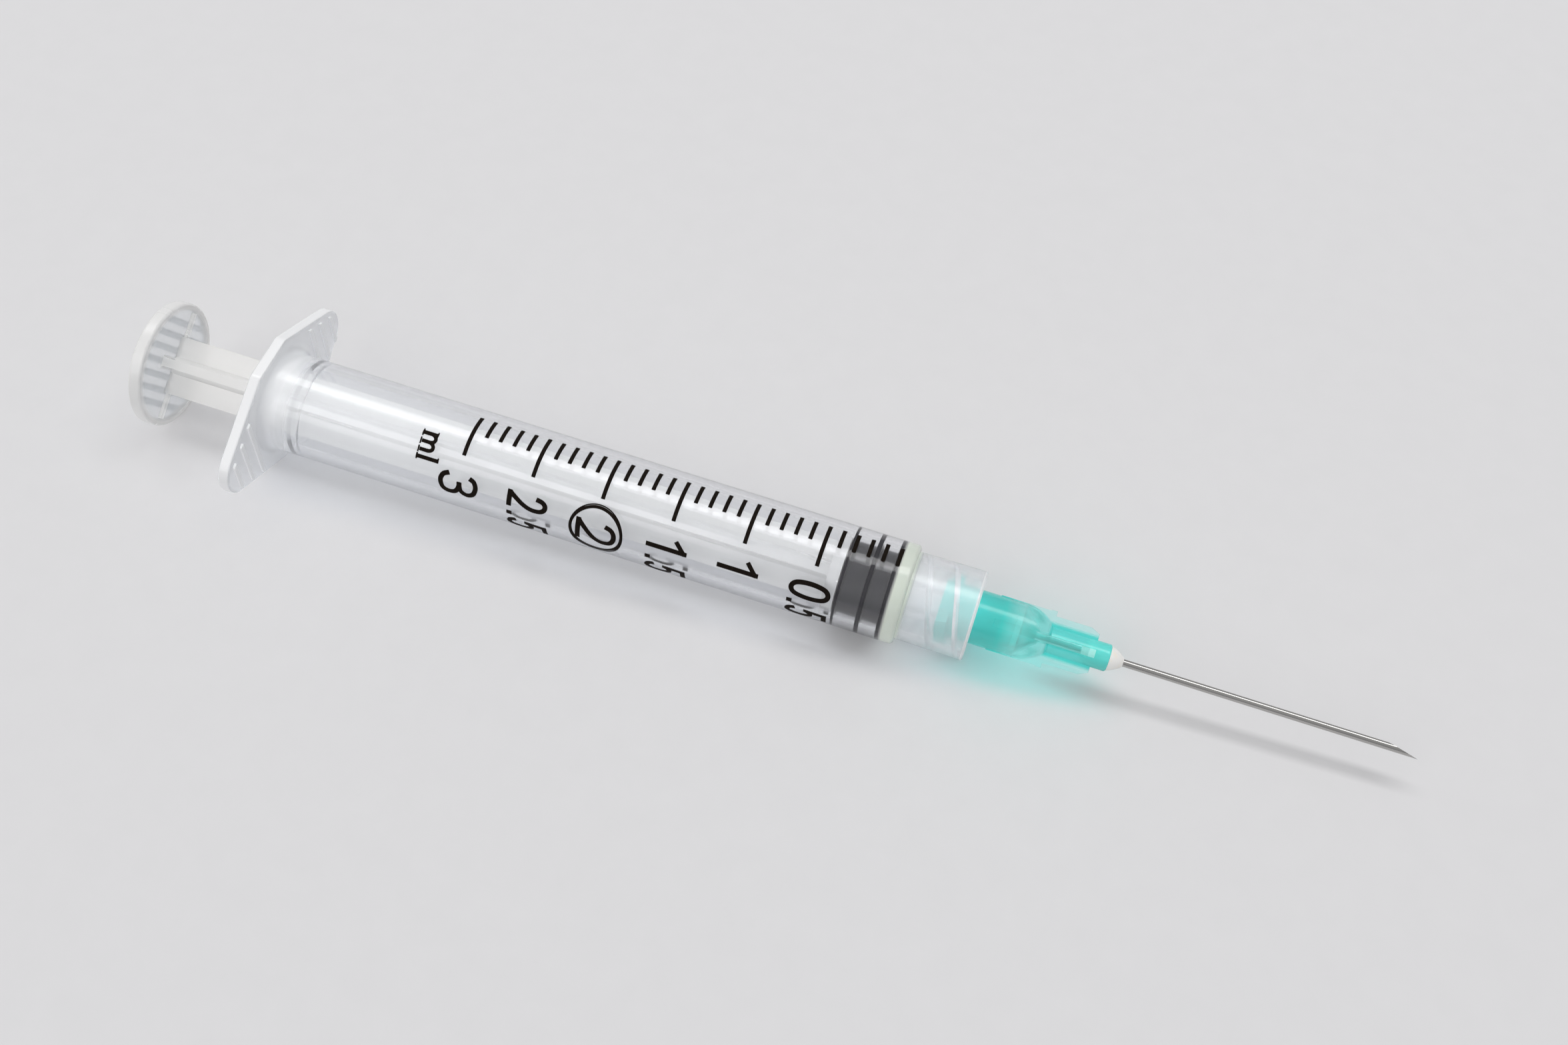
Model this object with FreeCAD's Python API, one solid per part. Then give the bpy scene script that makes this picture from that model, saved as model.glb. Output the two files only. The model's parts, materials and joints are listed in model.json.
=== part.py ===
"""Three millilitre luer lock syringe with its needle screwed on, lying on a table.

Every piece is drawn about the syringe's own axis, which runs along +X from the finger
flange towards the needle, with x = 0 at the flange's rear face. The whole syringe is
then tipped nose down by the small angle at which it comes to rest, on a flat of the
flange and on the barrel's front shoulder, and set down on z = 0. Lengths are in
millimetres and angles in degrees.
"""
import FreeCAD, Part
import math
import os

from FreeCAD import Vector

# Barrel: one moulding of tube, finger flange, locking collar and male tip
bore_d = 8.9
barrel_wall = 1.14
bore_length = 73.75
mouth_step = 0.4
mouth_depth = 4.3
stop_height = 0.12
stop_width = 0.9
end_wall = 1.25
shoulder_round = 0.45
end_recess = 0.55

flange_thickness = 1.4
flange_length = 26.0
flange_width = 14.6
flange_flat = 5.8
flange_end_r = 3.0
flange_corner_r = 1.2
flange_edge_r = 0.3
flange_root_r = 1.15
grip_rib_count = 3
grip_rib_first = 7.25
grip_rib_pitch = 2.0
grip_rib_width = 0.5
grip_rib_height = 0.25
grip_rib_inset = 0.6

collar_length = 7.6
collar_d = 10.0
collar_rear_d = 9.84
collar_inner_d = 8.0
collar_floor = 0.4
collar_chamfer = 0.3
tip_end_d = 3.93
tip_reach = 2.65
tip_chamfer = 0.2
lumen_d = 2.1
luer_taper = 0.06

# Scale printed on the barrel, one mark for each tenth of a millilitre
scale_volume = 3.0
mark_volume = 0.1
marks_per_long = 5
mark_width = 0.45
short_mark = 2.6
long_mark = 5.25
mark_edge_angle = -22.5
ink_thickness = 0.03
ring_d = 6.2
ring_line = 0.35
ring_angle = 71.0
ring_value = 2.0

# Rubber seal on the end of the plunger
seal_length = 5.9
seal_bore_gap = 0.03
seal_end_gap = 0.1
seal_land_depth = 0.4
rear_rib_width = 0.5
middle_rib_width = 0.6
front_rib_width = 0.85
middle_rib_share = 0.46
seal_nose = 0.4
seal_wall = 0.55

# Plunger rod: thumb press, crossed vanes, head disc and the head held in the seal
thumb_gap = 12.4
thumb_d = 14.5
thumb_thickness = 1.5
thumb_edge_r = 0.3
thumb_recess_d = 13.0
thumb_recess_depth = 0.35
thumb_ridge_count = 7
thumb_ridge_pitch = 1.6
thumb_ridge_width = 0.75
gusset_length = 12.6
gusset_width = 0.6
gusset_height = 0.35
vane_span = 6.7
vane_thickness = 1.0
vane_root_r = 0.4
rod_core_d = 2.2
head_disc_d = 8.4
head_disc_thickness = 1.25
neck_d = 2.8
neck_length = 1.1
barb_d = 4.4
barb_length = 2.5
seal_head_gap = 0.06
rod_roll = 31.5

# Needle hub: luer socket, two locking lugs, dome, nozzle and four stepped fins
hub_d = 5.96
lock_engagement = 3.9
socket_clearance = 0.022
socket_depth = 8.8
lug_span = 7.8
lug_width = 4.2
lug_thickness = 1.15
lug_turn = 55.0
lug_slant = 8.5
lug_advance = 0.3
dome_rise = 3.7
hub_straight = 8.9
nozzle_d = 3.0
nozzle_length = 6.55
nozzle_round = 0.2
funnel_length = 1.8
fin_thickness = 0.9
fin_proud = 0.06
fin_lead = 3.0
nub_height = 0.1
nub_length = 0.6
fin_step_d = 5.2
fin_end_d = 4.26
fin_chamfer = 1.0
fin_end_gap = 1.65
hub_roll = 31.5

# Adhesive and cannula, a 21 gauge tube with a lancet point
needle_d = 0.82
needle_bore_d = 0.51
needle_exposed = 33.2
needle_seat_gap = 0.01
bevel_angle = 14.0
lancet_angle = 21.0
lancet_turn = 38.0
well_d = 2.2
well_depth = 3.05
bead_rise = 1.55
bead_base_d = 2.72
bead_crown_d = 2.1
bead_tip_d = 1.0

# Sizes and stations that follow from the values above
bore_r = bore_d / 2
outer_r = bore_r + barrel_wall
mouth_r = bore_r + mouth_step
shoulder_x = bore_length + end_wall
floor_x = shoulder_x + collar_floor
collar_x = shoulder_x + collar_length
tip_x = collar_x + tip_reach
tip_r = tip_end_d / 2
lumen_r = lumen_d / 2
half_width = flange_width / 2
half_length = flange_length / 2

seal_front_x = bore_length - seal_end_gap
seal_rear_x = seal_front_x - seal_length
mark_step = mark_volume * 1000 / (math.pi * bore_r ** 2)
zero_x = seal_front_x - front_rib_width / 2
mark_count = round(scale_volume / mark_volume) + 1

hub_x = collar_x - lock_engagement
hub_r = hub_d / 2
dome_x = hub_x + hub_straight
nozzle_r = nozzle_d / 2
nozzle_x = dome_x + dome_rise * math.sqrt(1 - (nozzle_r / hub_r) ** 2)
face_x = nozzle_x + nozzle_length
needle_r = needle_d / 2
needle_x = face_x + needle_exposed

axis = Vector(1, 0, 0)
origin = Vector(0, 0, 0)
full_turn = 360
quarter_turn = 90


def line(start, end):
    """Straight edge between two (x, radius) points of a turned profile."""
    return Part.makeLine(Vector(start[0], start[1], 0), Vector(end[0], end[1], 0))


def arc(start, middle, end):
    """Circular edge through three (x, radius) points of a turned profile."""
    points = [Vector(x, r, 0) for x, r in (start, middle, end)]
    return Part.Arc(*points).toShape()


def corner(start, end, bulge):
    """Quarter round from start to end, curving towards the bulge point."""
    middle = [(a + b) / 2 for a, b in zip(start, end)]
    root = math.sqrt(2) - 1
    through = [m + (k - m) * root for m, k in zip(middle, bulge)]
    return arc(start, through, end)


def path(points):
    """Straight edges through a list of (x, radius) points."""
    return [line(a, b) for a, b in zip(points, points[1:])]


def turned(edges):
    """Solid turned about the syringe's axis from the edges of a closed profile."""
    face = Part.Face(Part.Wire(Part.__sortEdges__(edges)))
    return face.revolve(origin, axis, full_turn)


def turned_path(points):
    """Solid turned about the axis from a closed polygon of (x, radius) points."""
    return turned(path(points + points[:1]))


def rolled(shape, angle):
    """The shape turned about the syringe's axis."""
    turned_shape = shape.copy()
    turned_shape.rotate(origin, axis, angle)
    return turned_shape


def slab(x0, x1, width, height):
    """Box centred on the axis, from x0 to x1, width along Y and height along Z."""
    return Part.makeBox(x1 - x0, width, height, Vector(x0, -width / 2, -height / 2))


def tangent_point(corner_y, corner_z, centre_y, radius):
    """Point where the line from a flange corner touches the round end."""
    dy = centre_y - corner_y
    dz = -corner_z
    distance = math.hypot(dy, dz)
    heading = math.atan2(dz, dy) + math.asin(radius / distance)
    reach = math.sqrt(distance ** 2 - radius ** 2)
    return corner_y + reach * math.cos(heading), corner_z + reach * math.sin(heading)


def flange_prism(x0, x1, inset=0.0):
    """Flange outline drawn out from x0 to x1: two flats, four slants, two round ends.

    An inset outline keeps the centres of the round ends, and its flats are shorter.
    """
    flat = flange_flat / 2 - inset / 3
    top = half_width - inset
    tip = half_length - inset
    touch_y, touch_z = tangent_point(flat, top, half_length - flange_end_r, flange_end_r - inset)

    def at(y, z):
        return Vector(x0, y, z)

    edges = [
        Part.makeLine(at(-flat, top), at(flat, top)),
        Part.makeLine(at(flat, top), at(touch_y, touch_z)),
        Part.Arc(at(touch_y, touch_z), at(tip, 0), at(touch_y, -touch_z)).toShape(),
        Part.makeLine(at(touch_y, -touch_z), at(flat, -top)),
        Part.makeLine(at(flat, -top), at(-flat, -top)),
        Part.makeLine(at(-flat, -top), at(-touch_y, -touch_z)),
        Part.Arc(at(-touch_y, -touch_z), at(-tip, 0), at(-touch_y, touch_z)).toShape(),
        Part.makeLine(at(-touch_y, touch_z), at(-flat, top)),
    ]
    prism = Part.Face(Part.Wire(edges)).extrude(Vector(x1 - x0, 0, 0))
    corners = [e for e in prism.Edges if e.BoundBox.XLength > (x1 - x0) / 2
               and abs(abs(e.CenterOfMass.y) - flat) < 0.001]
    return prism.makeFillet(flange_corner_r, corners)


def flange():
    """Finger flange with rounded edges and grip ribs on the face towards the needle."""
    plate = flange_prism(0, flange_thickness)
    rims = [e for e in plate.Edges if e.BoundBox.XLength < 0.001]
    plate = plate.makeFillet(flange_edge_r, rims)
    rib_top = flange_thickness + grip_rib_height
    outline = flange_prism(0, rib_top, grip_rib_inset)
    ribs = []
    for side in (-1, 1):
        for number in range(grip_rib_count):
            place = side * (grip_rib_first + number * grip_rib_pitch)
            rib = slab(flange_thickness / 2, rib_top, grip_rib_width, flange_width)
            rib.translate(Vector(0, place, 0))
            ribs.append(rib.common(outline))
    plate = plate.fuse(ribs)
    root_x = flange_thickness + flange_root_r
    root_r = outer_r + flange_root_r
    root = turned([
        line((flange_thickness / 2, bore_r + barrel_wall / 2), (root_x, bore_r + barrel_wall / 2)),
        line((root_x, bore_r + barrel_wall / 2), (root_x, outer_r)),
        corner((root_x, outer_r), (flange_thickness, root_r), (flange_thickness, outer_r)),
        line((flange_thickness, root_r), (flange_thickness / 2, root_r)),
        line((flange_thickness / 2, root_r), (flange_thickness / 2, bore_r + barrel_wall / 2)),
    ])
    hole = Part.makeCylinder(bore_r + barrel_wall / 2 + mouth_step / 2, flange_thickness,
                             origin, axis)
    return plate.fuse(root).cut(hole)


def barrel():
    """Tube with its stop ring, front wall, locking collar and male luer tip."""
    stop_x = mouth_depth + mouth_step
    stop_end = stop_x + stop_width
    base_r = tip_r + luer_taper / 2 * (tip_x - floor_x)
    front_r = collar_d / 2
    rear_r = collar_rear_d / 2
    inner_r = collar_inner_d / 2
    inside = path([(0, mouth_r), (mouth_depth, mouth_r), (stop_x, bore_r)])
    inside.append(arc((stop_x, bore_r), (stop_x + stop_width / 2, bore_r - stop_height),
                      (stop_end, bore_r)))
    inside += path([(stop_end, bore_r), (bore_length, bore_r),
                    (bore_length + end_recess, lumen_r), (tip_x, lumen_r),
                    (tip_x, tip_r - tip_chamfer), (tip_x - tip_chamfer, tip_r),
                    (floor_x, base_r), (floor_x, inner_r),
                    (collar_x - collar_chamfer, inner_r), (collar_x, inner_r + collar_chamfer),
                    (collar_x, front_r - collar_chamfer / 2),
                    (collar_x - collar_chamfer / 2, front_r), (shoulder_x, rear_r),
                    (shoulder_x, outer_r - shoulder_round)])
    shoulder = corner((shoulder_x, outer_r - shoulder_round),
                      (shoulder_x - shoulder_round, outer_r), (shoulder_x, outer_r))
    outside = path([(shoulder_x - shoulder_round, outer_r), (0, outer_r), (0, mouth_r)])
    tube = turned(inside + [shoulder] + outside)
    return tube.fuse(flange()).removeSplitter()


def scale_mark(x, length):
    """One printed line of the scale, wrapped round the barrel from the scale's edge."""
    half = mark_width / 2
    section = path([(x - half, outer_r), (x + half, outer_r),
                    (x + half, outer_r + ink_thickness), (x - half, outer_r + ink_thickness),
                    (x - half, outer_r)])
    face = rolled(Part.Face(Part.Wire(section)), quarter_turn + mark_edge_angle)
    return face.revolve(origin, axis, math.degrees(length / outer_r))


def scale_ring():
    """Printed ring round the place of the two millilitre figure."""
    x = zero_x - ring_value / mark_volume * mark_step
    ink_r = outer_r + ink_thickness
    shell = Part.makeCylinder(ink_r, ring_d * 2, Vector(x - ring_d, 0, 0), axis)
    shell = shell.cut(Part.makeCylinder(outer_r, ring_d * 2, Vector(x - ring_d, 0, 0), axis))

    def post(diameter):
        along = diameter / 2
        across = outer_r * math.sin(diameter / 2 / outer_r)
        oval = Part.Ellipse(Vector(x, 0, 0), along, across).toShape()
        return Part.Face(Part.Wire(oval)).extrude(Vector(0, 0, outer_r * 2))

    ring = post(ring_d).cut(post(ring_d - 2 * ring_line))
    return shell.common(rolled(ring, ring_angle))


def graduation():
    """All the lines of the scale and the ring, as separate thin solids."""
    marks = []
    for number in range(mark_count):
        long_line = number > 0 and number % marks_per_long == 0
        marks.append(scale_mark(zero_x - number * mark_step, long_mark if long_line else short_mark))
    return Part.makeCompound(marks + scale_ring().Solids)


def seal_rib(x0, x1, crown_r, land_r):
    """Edges of one sealing rib of the turned profile, from its rear to its front."""
    flank = (x1 - x0) * 0.2
    return [line((x0, land_r), (x0 + flank, crown_r - flank / 2)),
            arc((x0 + flank, crown_r - flank / 2), ((x0 + x1) / 2, crown_r),
                (x1 - flank, crown_r - flank / 2)),
            line((x1 - flank, crown_r - flank / 2), (x1, land_r))]


def plunger_seal():
    """Rubber seal with three ribs, hollow behind for the head of the rod."""
    crown_r = bore_r - seal_bore_gap
    land_r = crown_r - seal_land_depth
    rear_end = seal_rear_x + rear_rib_width
    middle_x = seal_rear_x + seal_length * middle_rib_share
    front_start = seal_front_x - front_rib_width
    neck_r = neck_d / 2 + seal_head_gap
    barb_r = barb_d / 2 + seal_head_gap
    barb_x = seal_rear_x + neck_length
    barb_end = barb_x + barb_length + seal_head_gap
    edges = [line((seal_rear_x, neck_r), (seal_rear_x, land_r))]
    edges += seal_rib(seal_rear_x, rear_end, crown_r, land_r)
    edges.append(line((rear_end, land_r), (middle_x, land_r)))
    edges += seal_rib(middle_x, middle_x + middle_rib_width, crown_r, land_r)
    edges.append(line((middle_x + middle_rib_width, land_r), (front_start, land_r)))
    edges += seal_rib(front_start, seal_front_x, crown_r, land_r)
    edges += path([(seal_front_x, land_r), (seal_front_x + seal_nose, lumen_r),
                   (seal_front_x + seal_nose, 0), (barb_end, 0), (barb_end, barb_r - seal_wall),
                   (barb_x + seal_wall, barb_r), (barb_x, barb_r), (barb_x, neck_r),
                   (seal_rear_x, neck_r)])
    return turned(edges)


def vane(x0, x1):
    """Pair of opposite vanes along Z, flared where they meet the discs at both ends."""
    half = vane_thickness / 2
    wide = half + vane_root_r

    def fillet(x, run, side):
        foot = (x, side * wide)
        leave = (x + run * vane_root_r, side * half)
        return corner(foot, leave, (x, side * half))

    edges = [
        line((x0, -wide), (x0, wide)),
        fillet(x0, 1, 1),
        line((x0 + vane_root_r, half), (x1 - vane_root_r, half)),
        fillet(x1, -1, 1),
        line((x1, wide), (x1, -wide)),
        fillet(x1, -1, -1),
        line((x1 - vane_root_r, -half), (x0 + vane_root_r, -half)),
        fillet(x0, 1, -1),
    ]
    face = Part.Face(Part.Wire(Part.__sortEdges__(edges)))
    face.translate(Vector(0, 0, -vane_span / 2))
    return face.extrude(Vector(0, 0, vane_span))


def thumb_press():
    """Round press, ridged for the thumb behind and stiffened by a low rib in front."""
    press_front = -thumb_gap
    press_rear = press_front - thumb_thickness
    press_r = thumb_d / 2
    front_corner = (press_front, press_r - thumb_edge_r)
    rear_corner = (press_rear, press_r - thumb_edge_r)
    disc = turned(path([rear_corner, (press_rear, 0), (press_front, 0), front_corner]) + [
        corner(front_corner, (press_front - thumb_edge_r, press_r), (press_front, press_r)),
        line((press_front - thumb_edge_r, press_r), (press_rear + thumb_edge_r, press_r)),
        corner((press_rear + thumb_edge_r, press_r), rear_corner, (press_rear, press_r)),
    ])
    recess = Part.makeCylinder(thumb_recess_d / 2, thumb_recess_depth,
                               Vector(press_rear, 0, 0), axis)
    half_count = (thumb_ridge_count - 1) / 2
    ridges = []
    for number in range(thumb_ridge_count):
        ridge = slab(press_rear, press_rear + thumb_recess_depth, thumb_ridge_width, thumb_d)
        ridge.translate(Vector(0, (number - half_count) * thumb_ridge_pitch, 0))
        ridges.append(ridge)
    grooves = recess.cut(ridges)
    gusset = slab(press_front - thumb_thickness / 2, press_front + gusset_height,
                  gusset_length, gusset_width)
    return disc.cut(grooves).fuse(gusset)


def plunger_rod():
    """Thumb press, crossed vanes, head disc, neck and barbed head in one moulding."""
    vane_start = -thumb_gap
    disc_front = seal_rear_x - seal_head_gap
    disc_rear = disc_front - head_disc_thickness
    upright = vane(vane_start, disc_rear)
    crossways = rolled(upright, quarter_turn)
    core = Part.makeCylinder(rod_core_d / 2, disc_rear - vane_start, Vector(vane_start, 0, 0), axis)
    barb_x = seal_rear_x + neck_length + seal_head_gap
    barb_r = barb_d / 2
    barb_end = seal_rear_x + neck_length + barb_length
    head = turned_path([(disc_rear, 0), (disc_rear, head_disc_d / 2), (disc_front, head_disc_d / 2),
                        (disc_front, neck_d / 2), (barb_x, neck_d / 2), (barb_x, barb_r),
                        (barb_x + seal_wall - seal_head_gap, barb_r),
                        (barb_end, barb_r - seal_wall), (barb_end, 0)])
    rod = thumb_press().fuse([upright, crossways, core, head]).removeSplitter()
    return rolled(rod, rod_roll)


def socket_radius(x):
    """Radius of the hub's luer socket, which follows the taper of the barrel's tip."""
    return tip_r + luer_taper / 2 * (tip_x - x) + socket_clearance


def hub_fins():
    """Four stepped fins, each pair drawn as one plate through the axis."""
    root_r = nozzle_r / 2
    proud_r = hub_r + fin_proud
    nub_x = nozzle_x - nub_length
    step_r = fin_step_d / 2
    end_r = fin_end_d / 2
    fin_end = face_x - fin_end_gap
    start = dome_x - fin_lead
    rim = [(start, hub_r - fin_proud), (start + fin_proud, proud_r), (nub_x, proud_r),
           (nub_x, proud_r + nub_height), (nozzle_x, proud_r + nub_height),
           (nozzle_x, step_r), (fin_end - fin_chamfer, step_r), (fin_end, end_r),
           (fin_end, root_r), (dome_x, root_r), (start, hub_r - fin_proud)]
    points = [Vector(x, -fin_thickness / 2, r) for x, r in rim]
    fin = Part.Face(Part.makePolygon(points)).extrude(Vector(0, fin_thickness, 0))
    return [rolled(fin, number * quarter_turn) for number in range(4)]


def locking_lugs():
    """Two lugs opposite each other at the hub's rear, slanted to follow the collar's thread."""
    reach = Vector(hub_x, 0, 0)
    ring = Part.makeCylinder(lug_span / 2, lug_thickness * 2, reach, axis)
    bore = Part.makeCylinder((hub_r + socket_radius(hub_x)) / 2, lug_thickness * 2, reach, axis)
    plate = Part.makeBox(lug_thickness, lug_width, lug_span / 2,
                         Vector(-lug_thickness / 2, -lug_width / 2, 0))
    plate.rotate(origin, Vector(0, 0, 1), lug_slant)
    plate.translate(Vector(hub_x + lug_advance + lug_thickness / 2, 0, 0))
    lug = plate.common(ring.cut(bore))
    return [rolled(lug, lug_turn + number * 2 * quarter_turn) for number in range(2)]


def needle_hub():
    """Female luer hub with its lugs, dome, nozzle, fins and adhesive well."""
    socket_end = hub_x + socket_depth
    funnel_end = socket_end + funnel_length
    needle_hole_r = needle_r + needle_seat_gap
    well_r = well_d / 2
    well_x = face_x - well_depth
    ellipse = Part.Ellipse(Vector(dome_x, 0, 0), dome_rise, hub_r)
    turn = math.asin(nozzle_r / hub_r)
    dome = Part.ArcOfEllipse(ellipse, turn, math.pi / 2).toShape()
    nose = corner((face_x, nozzle_r - nozzle_round), (face_x - nozzle_round, nozzle_r),
                  (face_x, nozzle_r))
    edges = path([(dome_x, hub_r), (hub_x, hub_r), (hub_x, socket_radius(hub_x)),
                  (socket_end, socket_radius(socket_end)), (funnel_end, needle_hole_r),
                  (well_x, needle_hole_r), (well_x + well_r / 2, well_r), (face_x, well_r),
                  (face_x, nozzle_r - nozzle_round)])
    edges += [nose, line((face_x - nozzle_round, nozzle_r), (nozzle_x, nozzle_r)), dome]
    body = turned(edges)
    inside = turned_path([(hub_x, 0), (hub_x, socket_radius(hub_x)),
                          (socket_end, socket_radius(socket_end)), (funnel_end, needle_hole_r),
                          (well_x, needle_hole_r), (well_x + well_r / 2, well_r),
                          (face_x, well_r), (face_x, 0)])
    fins = [fin.cut(inside) for fin in hub_fins()]
    hub = body.fuse(locking_lugs() + fins).removeSplitter()
    return rolled(hub, hub_roll)


def adhesive_bead():
    """Adhesive that fills the well round the cannula and rises to a blunt cone."""
    well_r = well_d / 2
    well_x = face_x - well_depth
    base_r = bead_base_d / 2
    crown = (face_x + bead_rise / 2, bead_crown_d / 2)
    peak = (face_x + bead_rise, bead_tip_d / 2)
    edges = path([peak, (face_x + bead_rise, needle_r), (well_x, needle_r),
                  (well_x, needle_r + needle_seat_gap), (well_x + well_r / 2, well_r),
                  (face_x, well_r), (face_x, base_r)])
    edges.append(arc((face_x, base_r), crown, peak))
    return turned(edges)


def grinding_wheel(angle, turn, point_x):
    """Block that grinds a facet on the tube, rising backwards from point_x."""
    reach = needle_d * 12
    block = Part.makeBox(reach * 2, reach, reach, Vector(-reach, -reach / 2, 0))
    block.rotate(origin, Vector(0, 1, 0), angle)
    block.translate(Vector(point_x, 0, -needle_r))
    return rolled(block, turn)


def cannula():
    """Steel tube with a long primary bevel and two lancet facets at its point."""
    rear_x = hub_x + socket_depth + funnel_length
    length = needle_x - rear_x
    tube = Part.makeCylinder(needle_r, length, Vector(rear_x, 0, 0), axis)
    tube = tube.cut(Part.makeCylinder(needle_bore_d / 2, length, Vector(rear_x, 0, 0), axis))
    tube = tube.cut(grinding_wheel(bevel_angle, 0, needle_x))
    ahead = needle_r * (1 - math.cos(math.radians(lancet_turn))) / math.tan(math.radians(lancet_angle))
    for turn in (-lancet_turn, lancet_turn):
        tube = tube.cut(grinding_wheel(lancet_angle, turn, needle_x + ahead))
    return rolled(tube, hub_roll - quarter_turn)


def set_down(shape):
    """The shape tipped nose down to its rest and set on z = 0, centred under the box."""
    front_contact = shoulder_x - shoulder_round
    rear_contact = flange_thickness - flange_edge_r
    pitch = math.atan((half_width - outer_r) / (front_contact - rear_contact))
    nose_x = needle_x * math.cos(pitch)
    tail_x = -(thumb_gap + thumb_thickness) * math.cos(pitch) - thumb_d / 2 * math.sin(pitch)
    drop = rear_contact * math.sin(pitch) + half_width * math.cos(pitch)
    placed = shape.copy()
    placed.rotate(origin, Vector(0, 1, 0), math.degrees(pitch))
    placed.translate(Vector(-(nose_x + tail_x) / 2, 0, drop))
    return placed


nodes = {
    "barrel": barrel,
    "graduation": graduation,
    "plunger_seal": plunger_seal,
    "plunger_rod": plunger_rod,
    "needle_hub": needle_hub,
    "adhesive_bead": adhesive_bead,
    "cannula": cannula,
}

os.makedirs("parts", exist_ok=True)
for name, build in nodes.items():
    piece = set_down(build())
    piece.exportStep("parts/" + name + ".step")
    box = piece.BoundBox
    print(name, len(piece.Solids), "solids", piece.isValid(), round(piece.Volume, 3), "mm3",
          [round(v, 3) for v in (box.XMin, box.XMax, box.YMin, box.YMax, box.ZMin, box.ZMax)])
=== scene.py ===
"""Finishes and fine detail of a luer lock syringe that lies on a pale table.

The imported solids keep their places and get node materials. Added to them are the double
thread inside the locking collar, the figures and the unit of the printed scale, and the
bands where the seal's ribs press on the bore. Lengths are in metres and angles in degrees
unless a property has a unit of its own.

Places on the syringe are given by three numbers: the station along its axis from the
finger flange's rear face, the angle round the axis from straight up towards the front of
the scene, and the radius. Masks in the materials work with the same station and radius,
in millimetres.
"""

import json
import math

import bmesh
import bpy
import numpy as np
from bpy.props import FloatProperty, FloatVectorProperty, IntProperty, PointerProperty
from mathutils import Matrix, Vector


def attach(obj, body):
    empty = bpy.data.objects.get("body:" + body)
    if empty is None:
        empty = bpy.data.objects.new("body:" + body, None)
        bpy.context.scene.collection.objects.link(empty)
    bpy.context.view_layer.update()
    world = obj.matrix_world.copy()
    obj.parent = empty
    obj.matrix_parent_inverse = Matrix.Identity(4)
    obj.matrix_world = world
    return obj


bl_info = {
    "name": "Luer lock syringe",
    "version": (1, 0, 0),
    "blender": (4, 5, 0),
    "location": "View3D > Sidebar > Syringe",
    "description": "Finishes, lock thread, scale figures and seal contact of a luer lock syringe",
    "category": "Add Mesh",
}

MM = 0.001

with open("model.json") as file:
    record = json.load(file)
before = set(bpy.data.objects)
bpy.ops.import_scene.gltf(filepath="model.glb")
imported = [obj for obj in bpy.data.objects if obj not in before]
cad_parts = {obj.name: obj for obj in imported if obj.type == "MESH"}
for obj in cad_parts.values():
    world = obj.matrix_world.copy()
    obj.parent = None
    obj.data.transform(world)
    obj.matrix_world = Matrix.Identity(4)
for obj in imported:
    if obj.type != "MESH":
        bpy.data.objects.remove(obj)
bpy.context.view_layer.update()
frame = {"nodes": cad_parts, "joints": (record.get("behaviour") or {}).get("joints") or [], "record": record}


def joint(name):
    """The frame's joint of that name."""
    return next(j for j in frame["joints"] if j["name"] == name)


def mount(name):
    """The record's mount of that name."""
    return next(m for m in frame["record"]["mounts"] if m["name"] == name)


def along_axis(point):
    """Distance of a point along the syringe's axis from the pivot of the plunger's spin."""
    return (Vector(point) - PIVOT).dot(AXIS)


def vertices(name):
    """All vertices of a CAD node as an array of points."""
    mesh = frame["nodes"][name].data
    flat = np.empty(len(mesh.vertices) * 3)
    mesh.vertices.foreach_get("co", flat)
    return flat.reshape(-1, 3)


AXIS = Vector(joint("plunger_spin")["axis"]).normalized()
PIVOT = Vector(joint("plunger_spin")["pos_m"])
ACROSS = Vector((0, 1, 0))
UP = AXIS.cross(ACROSS)
REAR = PIVOT + AXIS * along_axis(mount("flange_rear")["pos_m"])


def stations(name):
    """Station along the axis of each vertex of a CAD node, its distance from the flange's rear face."""
    return (vertices(name) - np.array(REAR)) @ np.array(AXIS)


def radii(name):
    """Distance of each vertex of a CAD node from the syringe's axis."""
    offset = vertices(name) - np.array(REAR)
    return np.sqrt((offset @ np.array(ACROSS)) ** 2 + (offset @ np.array(UP)) ** 2)


# Places that the finishes and the added pieces follow, taken from the solids at rest
OUTER_R = mount("barrel_body")["dims"]["r_mm"] * MM
FLANGE_FRONT = along_axis(mount("flange_front")["pos_m"]) - along_axis(REAR)
SEAL_CROWN_R = float(radii("plunger_seal").max())
SEAL_END = float(stations("plunger_seal").max())
WALL_START = SEAL_END - 0.45 * MM
WALL_END = SEAL_END + 1.0 * MM
COLLAR_END = along_axis(mount("luer_lock")["pos_m"]) - along_axis(REAR)
PRESS_R = float(radii("plunger_rod").max())
PRESS_REAR = float(stations("plunger_rod").min())
PRESS_FRONT = PRESS_REAR + 1.5 * MM
BEAD_START = float(stations("adhesive_bead").min())
HUB_END = float(stations("needle_hub").max())

# Angle round the axis that faces the camera, from which the print and the thread are placed
FACING = 31.5

# The thread begins so far in front of the seal and ends so far inside the collar's mouth
THREAD_SETBACK = 2.2 * MM
THREAD_INSET = 0.4 * MM

# Fineness of the meshes: steps in a turn of the thread, in a seal band, and in the printed ring
THREAD_STEPS = 120
BAND_STEPS = 128
RING_STEPS = 48


def around(station, angle, radius):
    """Points at a station, an angle from straight up towards the front, and a radius, as an array.

    Each point is the flange's rear centre plus station along the axis, plus radius times the
    cosine of the angle upwards, less radius times its sine across.
    """
    station, angle, radius = np.broadcast_arrays(station, np.radians(angle), radius)
    place = np.array(REAR) + station[..., None] * np.array(AXIS)
    place = place + (radius * np.cos(angle))[..., None] * np.array(UP)
    return place - (radius * np.sin(angle))[..., None] * np.array(ACROSS)


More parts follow.
